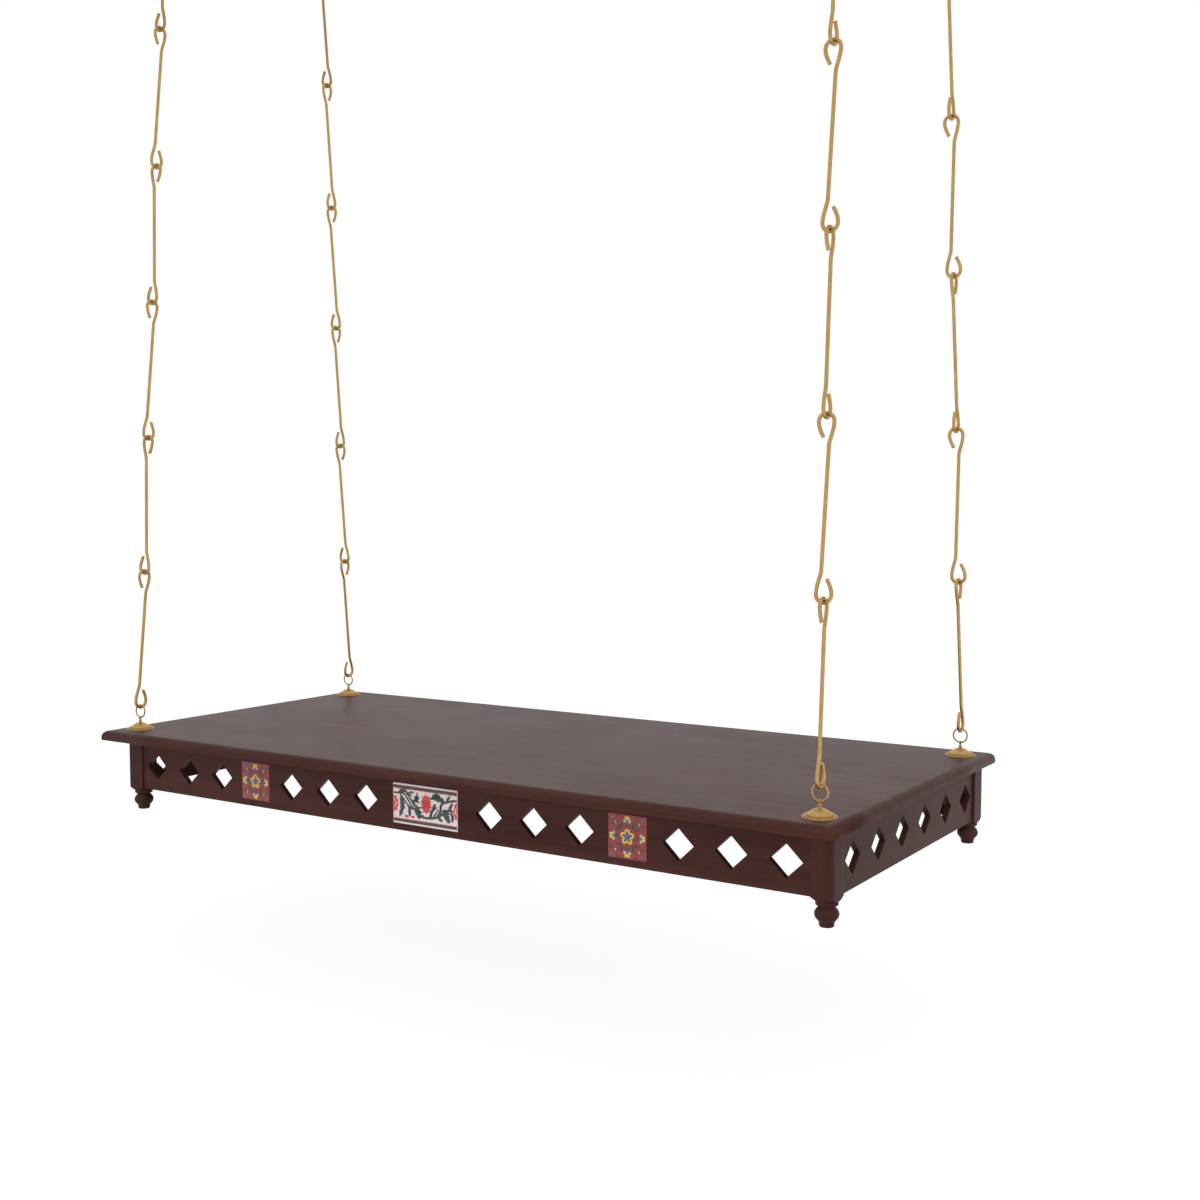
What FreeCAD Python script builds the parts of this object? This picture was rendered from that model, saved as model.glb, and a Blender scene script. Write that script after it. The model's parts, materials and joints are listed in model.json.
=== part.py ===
import FreeCAD, Part
import math
import os

# A wooden swing bed hung from four brass chains. Millimetres, +Z up, +X to the right, -Y to the front.
# The origin is on the ceiling, midway between the four ceiling roses, and the seat hangs below it.

os.makedirs("parts", exist_ok=True)
Vector = FreeCAD.Vector
up = Vector(0, 0, 1)
right = Vector(1, 0, 0)
back = Vector(0, 1, 0)

# Seat plank
plank_length = 1670.0
plank_width = 770.0
plank_thickness = 20.0
plank_round = 13.0

# Frame under the plank
end_overhang = 20.0
front_overhang = 55.0
back_overhang = 17.0
post_size = 40.0
post_height = 107.0
apron_thickness = 11.5
apron_height = 107.0
apron_setback = 4.5
tenon_length = 18.0
tenon_thickness = 8.0
tenon_shoulder = 16.0
glue_gap = 0.1

# Turned foot below each post
pommel_height = 6.5
pommel_radius = 18.6
collar_radius = 18.0
collar_height = 6.3
neck_radius = 13.5
bun_radius = 20.0
waist_radius = 13.6
waist_hollow = 0.5
base_radius = 12.0
neck_drop = 2.7
bun_height = 22.5
waist_height = 6.0
base_height = 3.2
base_round = 1.2

# Diamond piercings and painted tiles of the aprons
diamond_width = 59.0
diamond_height = 56.0
diamond_drop = 56.0
diamond_inset = 43.5
front_pattern = "DDDTDDDCCDDDTDDD"
back_pattern = "DDDDDDDDDDDDDDDD"
side_pattern = "DDDDDD"
tile_size = 76.0
wide_tile_length = 153.0
tile_thickness = 7.0
tile_proud = 0.6
tile_gap = 0.3

# Cross rails behind the tiles, corner blocks and their screws
rail_width = 40.0
rail_height = 40.0
block_leg = 42.0
block_end = 8.0
block_height = 22.0
block_gap = 0.2
screw_radius = 2.2
screw_head_radius = 4.5
screw_head_height = 2.8
screw_bite = 12.0
screw_inset = 7.0
screw_gap = 0.15

# Brass roses with their ring eyes, on the seat and on the ceiling
rose_radius = 29.2
rose_height = 14.7
rose_to_end = 48.2
rose_to_edge = 63.0
rose_sink = 0.4
rose_gap = 0.3
stem_radius = 2.3
ball_radius = 3.1
ball_drop = 6.4
eye_drop = 0.5
eye_radius = 3.9
eye_hole_radius = 2.45
eye_thickness = 2.8
eye_rise = 24.7

# Bolts that hold the seat roses, and studs that hold the ceiling roses
bolt_radius = 3.0
bolt_head_radius = 6.5
bolt_head_height = 4.0
bolt_reach = 9.0
bolt_gap = 0.3
counterbore_gap = 0.5
thread_gap = 0.06
stud_radius = 5.0
stud_length = 80.0
stud_end_radius = 4.0
stud_mouth_depth = 0.5

# Rings and chain links, bent from brass rod
ring_radius = 13.5
ring_rod_radius = 1.5
link_rod_radius = 3.2
link_pitch = 284.8
links_per_chain = 7
link_gap = 0.3
crown_radius = 13.0
hook_neck = 50.0
tip_offset = 4.9
tip_height = 36.5
hanging_gap = 0.4
loose_gap = 0.7
swing_offset = 2.4

# Where the four chains meet the ceiling
ceiling_spacing_x = 1511.3
ceiling_spacing_y = 436.8

# Counts and shares
rod_sides = 6
ring_bends = 10
crown_bends = 5
crown_bend_degrees = 40.0
bolt_sides = 6
eye_sides = 8
foot_sides = 12
seat_rose_sides = 16
ceiling_rose_sides = 8
bun_steps = 3
waist_steps = 2
hook_return_shares = ((-0.80, 0.62), (-0.35, 1.0))
rose_outline_shares = (
    (1.0, 0.0), (1.0, 0.09), (0.83, 0.24), (0.80, 0.33), (0.71, 0.41), (0.42, 0.75), (0.12, 1.0),
)
overrun = 5.0

corners = {"fl": (-1, -1), "fr": (1, -1), "bl": (-1, 1), "br": (1, 1)}


def save(name, shapes):
    # one solid, or a group of equal ones, under the name of its sub-part
    shape = shapes[0] if len(shapes) == 1 else Part.makeCompound(shapes)
    shape.exportStep("parts/" + name + ".step")


def box(low, high):
    size = high - low
    return Part.makeBox(size.x, size.y, size.z, low)


def flat(points):
    return Part.Face(Part.makePolygon(points + [points[0]]))


def closed_solid(faces):
    shell = Part.makeShell(faces)
    shell.sewShape()
    solid = Part.makeSolid(shell)
    if solid.Volume < 0:
        solid.reverse()
    return solid


def turned(outline, sides):
    # (radius, height) points from axis to axis, carried round Z in flat facets
    rings = []
    for radius, height in outline:
        ring_points = []
        for k in range(sides):
            turn = (2 * k + 1) * math.pi / sides
            ring_points.append(Vector(radius * math.cos(turn), radius * math.sin(turn), height))
        rings.append(ring_points)
    faces = [flat(rings[1]), flat(rings[-2])]
    for one, two in zip(rings[1:-2], rings[2:-1]):
        for k in range(sides):
            m = (k + 1) % sides
            faces.append(flat([one[k], one[m], two[m], two[k]]))
    return closed_solid(faces)


def bar(bottom, radius, height, sides):
    # a plain round bar in flat facets, from its bottom centre up
    shape = turned([(0, 0), (radius, 0), (radius, height), (0, height)], sides)
    shape.translate(bottom)
    return shape


def bent_rod(points, normal, radius, closed):
    # a rod of flat-sided section along a path in one plane, mitred at each bend
    corner_radius = radius / math.cos(math.pi / rod_sides)
    count = len(points)
    sections = []
    for i, here in enumerate(points):
        before = here - points[i - 1]
        after = points[(i + 1) % count] - here
        if not closed and i == 0:
            before = after
        if not closed and i == count - 1:
            after = before
        before = before.normalize()
        along = (before + Vector(after).normalize()).normalize()
        across = along.cross(normal).normalize() / along.dot(before)
        section = []
        for k in range(rod_sides):
            turn = (2 * k + 1) * math.pi / rod_sides
            sideways = across * (corner_radius * math.cos(turn))
            section.append(here + sideways + normal * (corner_radius * math.sin(turn)))
        sections.append(section)
    faces = []
    for i in range(count if closed else count - 1):
        one = sections[i]
        two = sections[(i + 1) % count]
        for k in range(rod_sides):
            m = (k + 1) % rod_sides
            faces.append(flat([one[k], one[m], two[m], two[k]]))
    if not closed:
        faces += [flat(sections[0]), flat(sections[-1])]
    return closed_solid(faces)


# Heights and places that follow from the sizes above

frame_left = end_overhang - plank_length / 2
frame_front = front_overhang - plank_width / 2
frame_back = plank_width / 2 - back_overhang
link_length = link_pitch + 2 * link_rod_radius + link_gap
chain_length = (links_per_chain - 1) * link_pitch + link_length
ring_reach = 2 * ring_radius - ring_rod_radius - link_rod_radius
seat_eye_x = plank_length / 2 - rose_to_end
seat_eye_y = plank_width / 2 - rose_to_edge
ceiling_eye_x = ceiling_spacing_x / 2
ceiling_eye_y = ceiling_spacing_y / 2
hang_length = chain_length + 2 * ring_reach - hanging_gap - loose_gap
lean_x = seat_eye_x - ceiling_eye_x
lean_y = seat_eye_y - ceiling_eye_y
hang_height = math.sqrt(hang_length ** 2 - lean_x ** 2 - lean_y ** 2)
plank_top = rose_sink - hang_height - 2 * eye_rise
plank_bottom = plank_top - plank_thickness


def hang_points(corner):
    # the four pivots of one chain, from the ceiling eye down to the seat eye
    side_x, side_y = corners[corner]
    ceiling_eye = Vector(side_x * ceiling_eye_x, side_y * ceiling_eye_y, -eye_rise)
    seat_eye = Vector(side_x * seat_eye_x, side_y * seat_eye_y, plank_top - rose_sink + eye_rise)
    line = (ceiling_eye - seat_eye).normalize()
    upper_gap = loose_gap if corner == "fl" else hanging_gap
    top_hook = ceiling_eye - line * (ring_reach - upper_gap)
    bottom_hook = top_hook - line * chain_length
    if side_y > 0:
        aim = bottom_hook + back * swing_offset - top_hook
        bottom_hook = top_hook + aim.normalize() * chain_length
    return ceiling_eye, top_hook, bottom_hook, seat_eye


# Seat plank

def seat_plank():
    plank = box(
        Vector(-plank_length / 2, -plank_width / 2, plank_bottom),
        Vector(plank_length / 2, plank_width / 2, plank_top),
    )
    rim = [e for e in plank.Edges if e.BoundBox.ZMin > plank_top - plank_round]
    plank = plank.makeFillet(plank_round, rim)
    for side_x, side_y in corners.values():
        foot = Vector(side_x * seat_eye_x, side_y * seat_eye_y, plank_bottom - overrun)
        plank = plank.cut(bar(foot, bolt_radius + bolt_gap, plank_thickness + 2 * overrun, bolt_sides))
        depth = bolt_head_height + counterbore_gap
        plank = plank.cut(bar(foot, bolt_head_radius + counterbore_gap, depth + overrun, bolt_sides))
        floor = Vector(foot.x, foot.y, plank_top - rose_sink)
        plank = plank.cut(bar(floor, rose_radius + rose_gap, rose_sink + overrun, seat_rose_sides))
    for corner in corners:
        hole = bar(screw_place(corner), screw_radius + screw_gap, screw_bite + screw_gap, bolt_sides)
        plank = plank.cut(hole)
    return plank


# Aprons, made lying along X with the outer face on Y = 0 and the top edge on Z = 0

def pattern_places(pattern, length):
    pitch = (length - 2 * diamond_inset) / (len(pattern) - 1)
    return [(mark, diamond_inset + i * pitch) for i, mark in enumerate(pattern)]


def tile_places(pattern, length):
    # (centre, length) of each tile; the wide one spans the two middle places
    places = [(place, tile_size) for mark, place in pattern_places(pattern, length) if mark == "T"]
    if "C" in pattern:
        places.append((length / 2, wide_tile_length))
    return sorted(places)


def tenons(length, gap):
    low = (apron_thickness - tenon_thickness) / 2 - gap
    high = low + tenon_thickness + 2 * gap
    ends = []
    for start in (-tenon_length - gap, length):
        ends.append(box(
            Vector(start, low, tenon_shoulder - apron_height - gap),
            Vector(start + tenon_length + gap, high, gap - tenon_shoulder),
        ))
    return ends


def apron(length, pattern):
    board = box(Vector(0, 0, -apron_height), Vector(length, apron_thickness, 0))
    for mark, place in pattern_places(pattern, length):
        if mark == "D":
            middle = Vector(place, -overrun, -diamond_drop)
            points = [
                middle - right * (diamond_width / 2),
                middle + up * (diamond_height / 2),
                middle + right * (diamond_width / 2),
                middle - up * (diamond_height / 2),
            ]
            board = board.cut(flat(points).extrude(back * (apron_thickness + 2 * overrun)))
    for place, size in tile_places(pattern, length):
        half = size / 2 + tile_gap
        board = board.cut(box(
            Vector(place - half, -overrun, -diamond_drop - tile_size / 2 - tile_gap),
            Vector(place + half, tile_thickness - tile_proud, -diamond_drop + tile_size / 2 + tile_gap),
        ))
    for tenon in tenons(length, 0):
        board = board.fuse(tenon)
    return board.removeSplitter()


def placed(shape, side):
    # carries what was made for an apron to its side of the frame
    shape = shape.copy()
    if side == "front":
        shape.translate(Vector(frame_left + post_size, frame_front + apron_setback, plank_bottom))
    if side == "back":
        shape.rotate(Vector(0, 0, 0), up, 180)
        shape.translate(Vector(-frame_left - post_size, frame_back - apron_setback, plank_bottom))
    if side == "left":
        shape.rotate(Vector(0, 0, 0), up, -90)
        shape.translate(Vector(frame_left + apron_setback, frame_back - post_size, plank_bottom))
    if side == "right":
        shape.rotate(Vector(0, 0, 0), up, 90)
        shape.translate(Vector(-frame_left - apron_setback, frame_front + post_size, plank_bottom))
    return shape


front_length = -2 * (frame_left + post_size)
side_length = frame_back - frame_front - 2 * post_size
apron_lengths = {"front": front_length, "back": front_length, "left": side_length, "right": side_length}
apron_patterns = {
    "front": front_pattern,
    "back": back_pattern,
    "left": side_pattern,
    "right": side_pattern,
}


def tile(place, size):
    low = Vector(place - size / 2, -tile_proud, -diamond_drop - tile_size / 2)
    high = Vector(place + size / 2, tile_thickness - tile_proud, -diamond_drop + tile_size / 2)
    return placed(box(low, high), "front")


# Corner posts, each with its turned foot, mortised for the aprons' tenons

def post_centre(corner):
    side_x, side_y = corners[corner]
    y = frame_front + post_size / 2 if side_y < 0 else frame_back - post_size / 2
    return Vector(-side_x * (frame_left + post_size / 2), y, plank_bottom)


def swell(start, end, bulge, steps):
    # points of a swelling or hollow outline between two (radius, height) points, both included
    points = []
    for k in range(steps + 1):
        share = k / steps
        radius = start[0] + (end[0] - start[0]) * share + bulge * math.sin(math.pi * share)
        points.append((radius, start[1] + (end[1] - start[1]) * share))
    return points


def turned_foot():
    # from the pommel down, about Z, with the top of the square post at Z = 0
    pommel = -post_height
    collar = pommel - pommel_height
    neck = collar - collar_height - neck_drop
    waist = neck - bun_height
    base = waist - waist_height
    sole = base - base_height
    outline = [(0, pommel), (pommel_radius, pommel), (pommel_radius, collar), (collar_radius, collar)]
    outline.append((collar_radius, collar - collar_height))
    outline += swell((neck_radius, neck), (waist_radius, waist), bun_radius - neck_radius, bun_steps)
    outline += swell((waist_radius, waist), (base_radius, base), -waist_hollow, waist_steps)[1:]
    outline += [(base_radius, sole + base_round), (base_radius - base_round, sole), (0, sole)]
    return turned(outline, foot_sides)


def corner_leg(corner):
    half = post_size / 2
    bottom = -post_height - pommel_height
    post = box(Vector(-half, -half, bottom), Vector(half, half, 0))
    reach = half * math.sqrt(2)
    mean_rise = (reach + half) / 2 - pommel_radius
    cone_top = bottom + pommel_height * (reach - pommel_radius) / mean_rise
    outline = [(0, bottom), (pommel_radius, bottom), (reach, cone_top), (reach, 0), (0, 0)]
    cutter = turned(outline, foot_sides)
    leg = post.common(cutter).fuse(turned_foot()).removeSplitter()
    leg.translate(post_centre(corner))
    for side, length in apron_lengths.items():
        for mortise in tenons(length, glue_gap):
            leg = leg.cut(placed(mortise, side))
    return leg


# Cross rails between the long aprons, and blocks in the corners

def cross_rail(x):
    depth = apron_setback + apron_thickness
    return box(
        Vector(x - rail_width / 2, frame_front + depth, plank_bottom - rail_height),
        Vector(x + rail_width / 2, frame_back - depth, plank_bottom),
    )


def inner_corner(corner):
    # the point where the inner corner of a post stands, and the ways along the two aprons from it
    side_x, side_y = corners[corner]
    half = post_size / 2
    point = post_centre(corner) + Vector(-side_x * half, -side_y * half, 0)
    return point, Vector(-side_x, 0, 0), Vector(0, -side_y, 0)


def corner_block(corner):
    # a brace from apron to apron, square to the corner's diagonal, that bears on the post's arris
    point, along, inward = inner_corner(corner)
    depth = post_size - apron_setback - apron_thickness
    start = point - (along + inward) * depth
    points = [
        start + along * (depth + block_gap) + inward * (depth + block_gap),
        start + along * (depth + block_leg) + inward * block_gap,
        start + along * (depth + block_leg + block_end) + inward * block_gap,
        start + along * block_gap + inward * (depth + block_leg + block_end),
        start + along * block_gap + inward * (depth + block_leg),
    ]
    block = flat(points).extrude(-up * block_height)
    place = screw_place(corner)
    start = place - up * (block_height + overrun)
    block = block.cut(bar(start, screw_radius + screw_gap, block_height + 2 * overrun, bolt_sides))
    sink = screw_head_height + screw_gap
    return block.cut(bar(start, screw_head_radius + screw_gap, sink + overrun, bolt_sides))


def screw_place(corner):
    point, along, inward = inner_corner(corner)
    return point + (along + inward) * screw_inset


def plank_screw(corner):
    place = screw_place(corner)
    start = place - up * block_height
    head = bar(start, screw_head_radius, screw_head_height, bolt_sides)
    return head.fuse(bar(start, screw_radius, block_height + screw_bite, bolt_sides)).removeSplitter()


# Brass rose with a ball and a ring eye, standing on Z = 0

def rose(bore, sides):
    eye_centre = eye_rise - eye_drop
    outline = [(0, 0)]
    outline += [(rose_radius * r, rose_height * z) for r, z in rose_outline_shares]
    outline += [
        (stem_radius, rose_height),
        (ball_radius, eye_rise - ball_drop),
        (stem_radius, eye_rise - ball_drop + ball_radius),
        (stem_radius, eye_centre - eye_radius / 2),
        (0, eye_centre - eye_radius / 2),
    ]
    eye = bar(-up * (eye_thickness / 2), eye_radius, eye_thickness, eye_sides)
    hole = bar(-up * overrun, eye_hole_radius, 2 * overrun, eye_sides)
    for shape in (eye, hole):
        shape.rotate(Vector(0, 0, 0), back, 90)
        shape.translate(up * eye_centre)
    return turned(outline, sides).fuse(eye).cut(hole).cut(bore).removeSplitter()


def seat_rose(corner):
    # let a little into the plank, so that it can't slip
    side_x, side_y = corners[corner]
    bore = bar(-up * overrun, bolt_radius + thread_gap, overrun + bolt_reach, bolt_sides)
    shape = rose(bore, seat_rose_sides)
    shape.translate(Vector(side_x * seat_eye_x, side_y * seat_eye_y, plank_top - rose_sink))
    return shape


def ceiling_rose(corner):
    # the same rose upside down, with a wider mouth round the stud's shank
    side_x, side_y = corners[corner]
    bore = bar(-up * overrun, stud_end_radius + thread_gap, overrun + bolt_reach, bolt_sides)
    mouth_radius = (stud_radius + bolt_gap) / math.cos(math.pi / bolt_sides)
    bore = bore.fuse(bar(-up * overrun, mouth_radius, overrun + stud_mouth_depth, bolt_sides))
    shape = rose(bore, ceiling_rose_sides)
    shape.rotate(Vector(0, 0, 0), right, 180)
    shape.translate(Vector(side_x * ceiling_eye_x, side_y * ceiling_eye_y, 0))
    return shape


def seat_bolt(corner):
    side_x, side_y = corners[corner]
    top = plank_top - rose_sink + bolt_reach - bolt_gap
    head = Vector(side_x * seat_eye_x, side_y * seat_eye_y, plank_bottom + counterbore_gap)
    shank = bar(head, bolt_radius, top - head.z, bolt_sides)
    return bar(head, bolt_head_radius, bolt_head_height, bolt_sides).fuse(shank).removeSplitter()


def ceiling_stud(corner):
    # a round shank from the ceiling line up, and a thinner end that screws into the rose
    side_x, side_y = corners[corner]
    shoulder = Vector(side_x * ceiling_eye_x, side_y * ceiling_eye_y, 0)
    reach = bolt_reach - bolt_gap
    shank = Part.makeCylinder(stud_radius, stud_length, shoulder, up)
    return shank.fuse(bar(shoulder - up * reach, stud_end_radius, reach, bolt_sides))


# Rings and links

def ring(bottom, along, across):
    # a closed ring of rod; bottom is the centre of the rod at its lowest point
    centre = bottom + along * ring_radius
    step = 2 * math.pi / ring_bends
    corner_radius = ring_radius / math.cos(step / 2)
    points = []
    for k in range(ring_bends):
        turn = (k + 0.5) * step
        sideways = across * (corner_radius * math.sin(turn))
        points.append(centre + sideways - along * (corner_radius * math.cos(turn)))
    return bent_rod(points, across.cross(along).normalize(), ring_rod_radius, True)


def hook_path():
    # (across, along) points of one end's hook, from its tip round the crown to the straight shank
    step = math.radians(crown_bend_degrees)
    corner_radius = crown_radius / math.cos(step / 2)
    path = [(tip_offset, tip_height)]
    for k in range(crown_bends + 1):
        turn = (crown_bends / 2 - k) * step
        path.append((corner_radius * math.sin(turn), crown_radius - corner_radius * math.cos(turn)))
    for across_share, along_share in hook_return_shares:
        path.append((crown_radius * across_share, hook_neck * along_share))
    return path


def link(bottom, along, across):
    # an S of rod: the hook at the bottom opens to +across, and the top one is its half turn
    path = hook_path()
    path += [(-x, link_length - z) for x, z in reversed(hook_path())]
    points = [bottom + across * x + along * z for x, z in path]
    return bent_rod(points, across.cross(along).normalize(), link_rod_radius, False)


def square_to(direction, along):
    # the given direction, made square to the chain's line
    return (direction - along * direction.dot(along)).normalize()


def chain_parts(corner):
    side_x, side_y = corners[corner]
    ceiling_eye, top_hook, bottom_hook, seat_eye = hang_points(corner)
    along = (top_hook - bottom_hook).normalize()
    line = (ceiling_eye - seat_eye).normalize()
    parts = {}
    parts["seat_ring_" + corner] = ring(seat_eye, line, square_to(right, line))
    for k in range(links_per_chain):
        direction = right * side_x if k % 2 else back * -side_y
        parts["link_" + corner + "_" + str(k + 1)] = link(
            bottom_hook + along * (k * link_pitch), along, square_to(direction, along)
        )
    ring_bottom = ceiling_eye - line * (2 * ring_radius)
    parts["ceiling_ring_" + corner] = ring(ring_bottom, line, square_to(right, line))
    return parts


# Build and save every sub-part

save("seat_plank", [seat_plank()])
for side, length in apron_lengths.items():
    save(side + "_apron", [placed(apron(length, apron_patterns[side]), side)])
for name, (place, size) in zip(("left", "centre", "right"), tile_places(front_pattern, front_length)):
    save("tile_" + name, [tile(place, size)])
    save("cross_rail_" + name, [cross_rail(place + frame_left + post_size)])
save("corner_legs", [corner_leg(corner) for corner in corners])
save("corner_blocks", [corner_block(corner) for corner in corners])
save("plank_screws", [plank_screw(corner) for corner in corners])
save("seat_roses", [seat_rose(corner) for corner in corners])
save("seat_bolts", [seat_bolt(corner) for corner in corners])
save("ceiling_roses", [ceiling_rose(corner) for corner in corners])
save("ceiling_studs", [ceiling_stud(corner) for corner in corners])
for corner in corners:
    for name, shape in chain_parts(corner).items():
        save(name, [shape])
print("plank top at", round(plank_top, 2))
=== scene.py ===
import json
import math

import bmesh
import bpy
from mathutils import Matrix, Vector, noise


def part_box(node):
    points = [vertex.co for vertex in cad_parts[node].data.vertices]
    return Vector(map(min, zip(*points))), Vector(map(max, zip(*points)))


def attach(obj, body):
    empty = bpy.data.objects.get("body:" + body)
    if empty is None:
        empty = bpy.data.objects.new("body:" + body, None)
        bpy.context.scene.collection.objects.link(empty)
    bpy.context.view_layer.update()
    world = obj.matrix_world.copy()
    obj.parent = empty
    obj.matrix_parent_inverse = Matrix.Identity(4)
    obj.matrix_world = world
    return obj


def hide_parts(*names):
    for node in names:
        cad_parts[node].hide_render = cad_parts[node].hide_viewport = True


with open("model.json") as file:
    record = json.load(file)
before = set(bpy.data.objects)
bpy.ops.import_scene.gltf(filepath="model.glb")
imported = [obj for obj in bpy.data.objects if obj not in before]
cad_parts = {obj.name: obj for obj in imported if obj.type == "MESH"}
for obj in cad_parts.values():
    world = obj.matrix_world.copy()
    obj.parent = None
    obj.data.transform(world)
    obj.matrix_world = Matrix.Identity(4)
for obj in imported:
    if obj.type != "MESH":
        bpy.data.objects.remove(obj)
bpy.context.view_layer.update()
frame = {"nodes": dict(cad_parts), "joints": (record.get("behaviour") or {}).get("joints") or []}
scene = bpy.context.scene
mm = 0.001

jointPlace = {joint["name"]: Vector(joint["pos_m"]) for joint in frame["joints"]}
plankLow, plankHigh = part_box("seat_plank")
corners = {"fl": (-1, -1), "fr": (1, -1), "bl": (-1, 1), "br": (1, 1)}
quarter = math.pi / 2


# Shader helpers

def feed(tree, socket, value):
    # links an output into the socket, or sets a plain value on it
    if isinstance(value, bpy.types.NodeSocket):
        tree.links.new(value, socket)
    else:
        socket.default_value = value


def addNode(tree, kind, inputs=None, **settings):
    node = tree.nodes.new(kind)
    for key, value in settings.items():
        setattr(node, key, value)
    for key, value in (inputs or {}).items():
        feed(tree, node.inputs[key], value)
    return node


def newGroup(name, inputs, outputs):
    group = bpy.data.node_groups.new(name, "ShaderNodeTree")
    for sockets, way in ((inputs, "INPUT"), (outputs, "OUTPUT")):
        for label, kind in sockets.items():
            group.interface.new_socket(label, in_out=way, socket_type="NodeSocket" + kind)
    return group, group.nodes.new("NodeGroupInput").outputs, group.nodes.new("NodeGroupOutput").inputs


def useGroup(tree, group, inputs):
    return addNode(tree, "ShaderNodeGroup", inputs, node_tree=group).outputs


def ramp(tree, source, start, end):
    # start and end are a place along the ramp and the value there
    node = addNode(tree, "ShaderNodeValToRGB", {"Fac": source})
    for element, (place, value) in zip(node.color_ramp.elements, (start, end)):
        element.position = place
        element.color = (value, value, value, 1)
    return node.outputs["Color"]


def mixColor(tree, factor, one, two):
    return addNode(tree, "ShaderNodeMix", {0: factor, 6: one, 7: two}, data_type="RGBA").outputs[2]


def mathNode(tree, operation, *values):
    return addNode(tree, "ShaderNodeMath", dict(enumerate(values)), operation=operation).outputs[0]


def weighted(tree, one, two, oneShare, twoShare):
    return mathNode(tree, "MULTIPLY_ADD", one, oneShare, mathNode(tree, "MULTIPLY", two, twoShare))


def noiseNode(tree, place, look):
    return addNode(tree, "ShaderNodeTexNoise", {"Vector": place, **look})


def shade(*picture):
    # a colour as a picture shows it, from 0 to 255, made linear
    values = (value / 255 for value in picture)
    return (*(v / 12.92 if v < 0.0405 else ((v + 0.055) / 1.055) ** 2.4 for v in values), 1)


# Shared effects

grainLook = {
    "wander": {"Scale": 3.0, "Detail": 2.0},
    "bend": (0.0, 0.03, 0.03),
    "broad": ((0.9, 14.0, 14.0), {"Scale": 1.6, "Detail": 5.0, "Roughness": 0.6}),
    "fine": ((9.0, 420.0, 420.0), {"Scale": 1.0, "Detail": 3.0}),
    "pores": ((70.0, 1300.0, 1300.0), {"Scale": 1.0, "Detail": 1.0}),
    "poreRange": ((0.30, 1.0), (0.40, 0.0)),
    "streak": (0.8, 0.2),           # of the broad and the fine grain
    "streakRange": ((0.30, 0.0), (0.70, 1.0)),
    "poreTint": 0.35,
    "roughness": (0.05, 0.08),      # of the fine grain and the pores
    "height": (0.35, -0.8),
}
handlingLook = {"cloud": {"Detail": 5.0, "Roughness": 0.62}, "range": ((0.38, 0.0), (0.66, 1.0))}


def stretchedNoise(tree, place, stretch, look):
    drawnOut = addNode(tree, "ShaderNodeMapping", {"Vector": place, "Scale": stretch}).outputs[0]
    return noiseNode(tree, drawnOut, look).outputs["Fac"]


def makeGrain():
    # straight grain along the group's own X, with fine pores
    group, given, result = newGroup(
        "stainedGrain",
        {"Vector": "Vector", "Dark": "Color", "Light": "Color"},
        {"Color": "Color", "Roughness": "Float", "Height": "Float"},
    )
    wander = noiseNode(group, given["Vector"], grainLook["wander"]).outputs["Color"]
    bend = addNode(group, "ShaderNodeVectorMath", {0: wander, 1: grainLook["bend"]}, operation="MULTIPLY")
    moved = addNode(group, "ShaderNodeVectorMath", {0: given["Vector"], 1: bend.outputs[0]}, operation="ADD")
    broad, fine, pores = (
        stretchedNoise(group, moved.outputs[0], *grainLook[part]) for part in ("broad", "fine", "pores")
    )
    poreMask = ramp(group, pores, *grainLook["poreRange"])
    streak = ramp(group, weighted(group, broad, fine, *grainLook["streak"]), *grainLook["streakRange"])
    color = mixColor(group, streak, given["Dark"], given["Light"])
    pored = mathNode(group, "MULTIPLY", poreMask, grainLook["poreTint"])
    color = mixColor(group, pored, color, given["Dark"])
    feed(group, result["Color"], color)
    feed(group, result["Roughness"], weighted(group, fine, poreMask, *grainLook["roughness"]))
    feed(group, result["Height"], weighted(group, fine, poreMask, *grainLook["height"]))
    return group


def makeHandling():
    # faint cloudy marks that hands and cloths leave, for any finish
    group, given, result = newGroup(
        "handling",
        {"Vector": "Vector", "Size": "Float", "Amount": "Float", "Base": "Float"},
        {"Roughness": "Float", "Mask": "Float"},
    )
    cloud = noiseNode(group, given["Vector"], {"Scale": given["Size"], **handlingLook["cloud"]})
    mask = ramp(group, cloud.outputs["Fac"], *handlingLook["range"])
    feed(group, result["Roughness"], mathNode(group, "MULTIPLY_ADD", mask, given["Amount"], given["Base"]))
    feed(group, result["Mask"], mask)
    return group


grainGroup = makeGrain()
handlingGroup = makeHandling()


def newMaterial(name):
    material = bpy.data.materials.new(name)
    material.use_nodes = True
    tree = material.node_tree
    return material, tree, tree.nodes["Principled BSDF"]


def objectPlace(tree):
    return addNode(tree, "ShaderNodeTexCoord").outputs["Object"]


def pointiness(tree):
    return addNode(tree, "ShaderNodeNewGeometry").outputs["Pointiness"]


def finishShader(tree, shader, color, rough, height, bump):
    # bump is its strength and its depth in metres
    strength, depth = bump
    relief = addNode(tree, "ShaderNodeBump", {"Height": height, "Strength": strength, "Distance": depth})
    feed(tree, shader.inputs["Base Color"], color)
    feed(tree, shader.inputs["Roughness"], rough)
    feed(tree, shader.inputs["Normal"], relief.outputs[0])


# Dark stained hardwood, one material for each direction of the grain

stain = {
    "dark": shade(54, 31, 28),
    "light": shade(79, 50, 45),
    "wear": shade(98, 58, 48),
    "marks": {"Size": 6.0, "Amount": 0.03, "Base": 0.34},
    "rubbed": ((0.53, 0.0), (0.62, 1.0)),      # by how far an edge stands out
    "rubbedShare": 0.4,
    "shine": 0.05,
    "bump": (0.12, 0.00004),
}


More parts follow.
